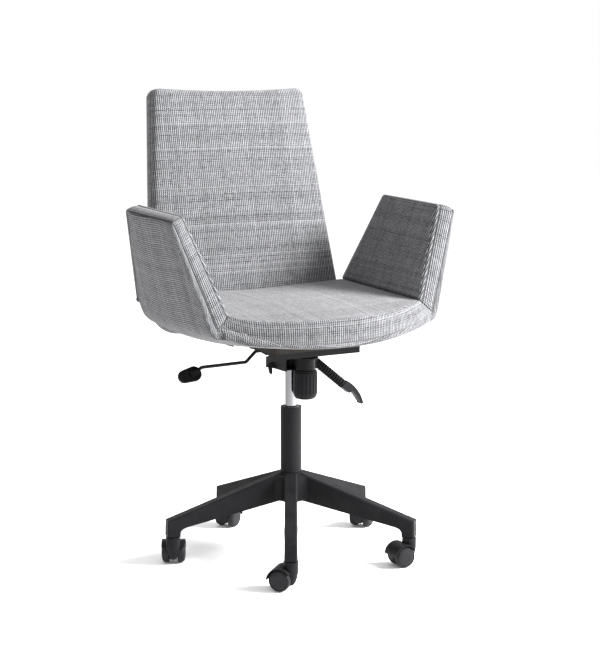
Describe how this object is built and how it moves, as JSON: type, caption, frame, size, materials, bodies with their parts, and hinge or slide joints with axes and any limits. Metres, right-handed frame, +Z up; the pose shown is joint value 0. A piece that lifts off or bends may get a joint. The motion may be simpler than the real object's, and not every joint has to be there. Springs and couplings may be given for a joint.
{
  "type": "swivel office chair",
  "caption": "Swivel office chair: upholstered bucket seat with flared arms and high back, tilt mechanism with two levers, gas column and star base on twin-wheel casters.",
  "frame": {"origin": "swivel axis at floor level, midway between the feet of the star base", "axes": "+Z up along the gas column; the seat faces -Y; +X is the side of the tilt lock lever"},
  "size_m": [0.74, 0.6031, 1.0958],
  "materials": {
    "tweed": "woven",
    "nylon_black": "fine texture",
    "plastic_black": "satin",
    "wheel_grey": "satin",
    "rubber_black": "matt",
    "steel_black": "powder coat",
    "steel_bright": "zinc",
    "chrome": "polished",
    "bush_grey": "plain",
    "plywood": "black stain"
  },
  "bodies": {
    "base": {"base_star": "nylon_black", "column_tube": "steel_black", "guide_bush": "bush_grey"},
    "lift_rod": {"piston_rod": "steel_bright", "thrust_bearing": "steel_bright", "retaining_clip": "steel_bright"},
    "lift": {"gas_cylinder": "chrome", "rod_guide": "bush_grey", "taper_socket": "steel_black", "mechanism_housing": "steel_black", "spring_cup": "plastic_black", "tilt_pivot_pin": "steel_bright", "rear_lug": "steel_black"},
    "button": {"release_button": "steel_bright"},
    "gas_lever": {"gas_lever_rod": "steel_black", "gas_lever_paddle": "plastic_black"},
    "lock_lever": {"lock_lever_rod": "steel_bright", "lock_lever_sleeve": "rubber_black", "lock_lever_handle": "plastic_black"},
    "tension_bolt": {"tension_bolt": "steel_bright", "tension_spring": "steel_black"},
    "tension_knob": {"tension_knob": "plastic_black"},
    "seat": {"seat_plate": "steel_black", "pivot_bushes": "bush_grey", "seat_bolts": "steel_bright", "seat_board": "plywood", "back_board": "plywood", "arm_boards": "plywood", "frame_brackets": "steel_black", "under_shell": "tweed", "seat_cushion": "tweed", "front_border": "tweed", "left_arm_pad": "tweed", "right_arm_pad": "tweed", "back_pad": "tweed"},
    "caster_1": {"caster_1_hood": "plastic_black", "caster_1_stem": "steel_bright", "caster_1_axle": "steel_bright"},
    "caster_1_wheel_a": {"caster_1_wheel_a": "wheel_grey"},
    "caster_1_wheel_b": {"caster_1_wheel_b": "wheel_grey"},
    "caster_2": {"caster_2_hood": "plastic_black", "caster_2_stem": "steel_bright", "caster_2_axle": "steel_bright"},
    "caster_2_wheel_a": {"caster_2_wheel_a": "wheel_grey"},
    "caster_2_wheel_b": {"caster_2_wheel_b": "wheel_grey"},
    "caster_3": {"caster_3_hood": "plastic_black", "caster_3_stem": "steel_bright", "caster_3_axle": "steel_bright"},
    "caster_3_wheel_a": {"caster_3_wheel_a": "wheel_grey"},
    "caster_3_wheel_b": {"caster_3_wheel_b": "wheel_grey"},
    "caster_4": {"caster_4_hood": "plastic_black", "caster_4_stem": "steel_bright", "caster_4_axle": "steel_bright"},
    "caster_4_wheel_a": {"caster_4_wheel_a": "wheel_grey"},
    "caster_4_wheel_b": {"caster_4_wheel_b": "wheel_grey"},
    "caster_5": {"caster_5_hood": "plastic_black", "caster_5_stem": "steel_bright", "caster_5_axle": "steel_bright"},
    "caster_5_wheel_a": {"caster_5_wheel_a": "wheel_grey"},
    "caster_5_wheel_b": {"caster_5_wheel_b": "wheel_grey"}
  },
  "joints": [
    {"name": "seat_swivel", "type": "hinge", "parent": "base", "child": "lift_rod", "pos_m": [0, 0, 0.12], "axis": [0, 0, 1], "continuous": true},
    {"name": "seat_height", "type": "slide", "parent": "lift_rod", "child": "lift", "axis": [0, 0, 1], "range_m": [-0.085, 0.035]},
    {"name": "button_press", "type": "slide", "parent": "lift", "child": "button", "axis": [0, 0, 1], "range_m": [-0.004, 0], "stiffness_N_per_m": 600, "springref_m": 0.004},
    {"name": "gas_lever_lift", "type": "hinge", "parent": "lift", "child": "gas_lever", "pos_m": [-0.036, 0, 0.487], "axis": [0, 1, 0], "range_deg": [0, 4], "stiffness_Nm_per_rad": 3, "springref_deg": -2.86},
    {"name": "lock_lever_turn", "type": "hinge", "parent": "lift", "child": "lock_lever", "pos_m": [0.036, 0, 0.487], "axis": [0, -1, 0], "range_deg": [0, 8]},
    {"name": "seat_tilt", "type": "hinge", "parent": "lift", "child": "seat", "pos_m": [0, -0.027, 0.488], "axis": [-1, 0, 0], "range_deg": [0, 12], "stiffness_Nm_per_rad": 110, "springref_deg": -17.19},
    {"name": "tension_bolt_rise", "type": "slide", "parent": "lift", "child": "tension_bolt", "axis": [0, 0, 1], "range_m": [0, 0.0088], "deforming": ["tension_spring"]},
    {"name": "tension_knob_turn", "type": "hinge", "parent": "tension_bolt", "child": "tension_knob", "pos_m": [0, -0.064, 0.42], "axis": [0, 0, 1], "range_deg": [-1080, 1080]},
    {"name": "caster_1_swivel", "type": "hinge", "parent": "base", "child": "caster_1", "pos_m": [-0.14833, -0.24686, 0.08], "axis": [0, 0, 1], "continuous": true},
    {"name": "caster_1_wheel_a_roll", "type": "hinge", "parent": "caster_1", "child": "caster_1_wheel_a", "pos_m": [-0.16238, -0.23126, 0.025], "axis": [-0.7431, -0.6691, 0], "continuous": true},
    {"name": "caster_1_wheel_b_roll", "type": "hinge", "parent": "caster_1", "child": "caster_1_wheel_b", "pos_m": [-0.16238, -0.23126, 0.025], "axis": [-0.7431, -0.6691, 0], "continuous": true},
    {"name": "caster_2_swivel", "type": "hinge", "parent": "base", "child": "caster_2", "pos_m": [0.18895, -0.21736, 0.08], "axis": [0, 0, 1], "continuous": true},
    {"name": "caster_2_wheel_a_roll", "type": "hinge", "parent": "caster_2", "child": "caster_2_wheel_a", "pos_m": [0.16803, -0.21553, 0.025], "axis": [-0.0872, -0.9962, 0], "continuous": true},
    {"name": "caster_2_wheel_b_roll", "type": "hinge", "parent": "caster_2", "child": "caster_2_wheel_b", "pos_m": [0.16803, -0.21553, 0.025], "axis": [-0.0872, -0.9962, 0], "continuous": true},
    {"name": "caster_3_swivel", "type": "hinge", "parent": "base", "child": "caster_3", "pos_m": [0.2651, 0.11253, 0.08], "axis": [0, 0, 1], "continuous": true},
    {"name": "caster_3_wheel_a_roll", "type": "hinge", "parent": "caster_3", "child": "caster_3_wheel_a", "pos_m": [0.28272, 0.12397, 0.025], "axis": [-0.5446, 0.8387, 0], "continuous": true},
    {"name": "caster_3_wheel_b_roll", "type": "hinge", "parent": "caster_3", "child": "caster_3_wheel_b", "pos_m": [0.28272, 0.12397, 0.025], "axis": [-0.5446, 0.8387, 0], "continuous": true},
    {"name": "caster_4_swivel", "type": "hinge", "parent": "base", "child": "caster_4", "pos_m": [-0.0251, 0.2869, 0.08], "axis": [0, 0, 1], "continuous": true},
    {"name": "caster_4_wheel_a_roll", "type": "hinge", "parent": "caster_4", "child": "caster_4_wheel_a", "pos_m": [-0.0071, 0.29772, 0.025], "axis": [-0.515, 0.8572, 0], "continuous": true},
    {"name": "caster_4_wheel_b_roll", "type": "hinge", "parent": "caster_4", "child": "caster_4_wheel_b", "pos_m": [-0.0071, 0.29772, 0.025], "axis": [-0.515, 0.8572, 0], "continuous": true},
    {"name": "caster_5_swivel", "type": "hinge", "parent": "base", "child": "caster_5", "pos_m": [-0.28062, 0.06479, 0.08], "axis": [0, 0, 1], "continuous": true},
    {"name": "caster_5_wheel_a_roll", "type": "hinge", "parent": "caster_5", "child": "caster_5_wheel_a", "pos_m": [-0.2698, 0.08279, 0.025], "axis": [-0.8572, 0.515, 0], "continuous": true},
    {"name": "caster_5_wheel_b_roll", "type": "hinge", "parent": "caster_5", "child": "caster_5_wheel_b", "pos_m": [-0.2698, 0.08279, 0.025], "axis": [-0.8572, 0.515, 0], "continuous": true}
  ],
  "couplings": [
    {"joint": "tension_bolt_rise", "follows": "seat_tilt", "m_per_rad": 0.0401},
    {"joint": "button_press", "follows": "gas_lever_lift", "m_per_rad": -0.0365}
  ]
}
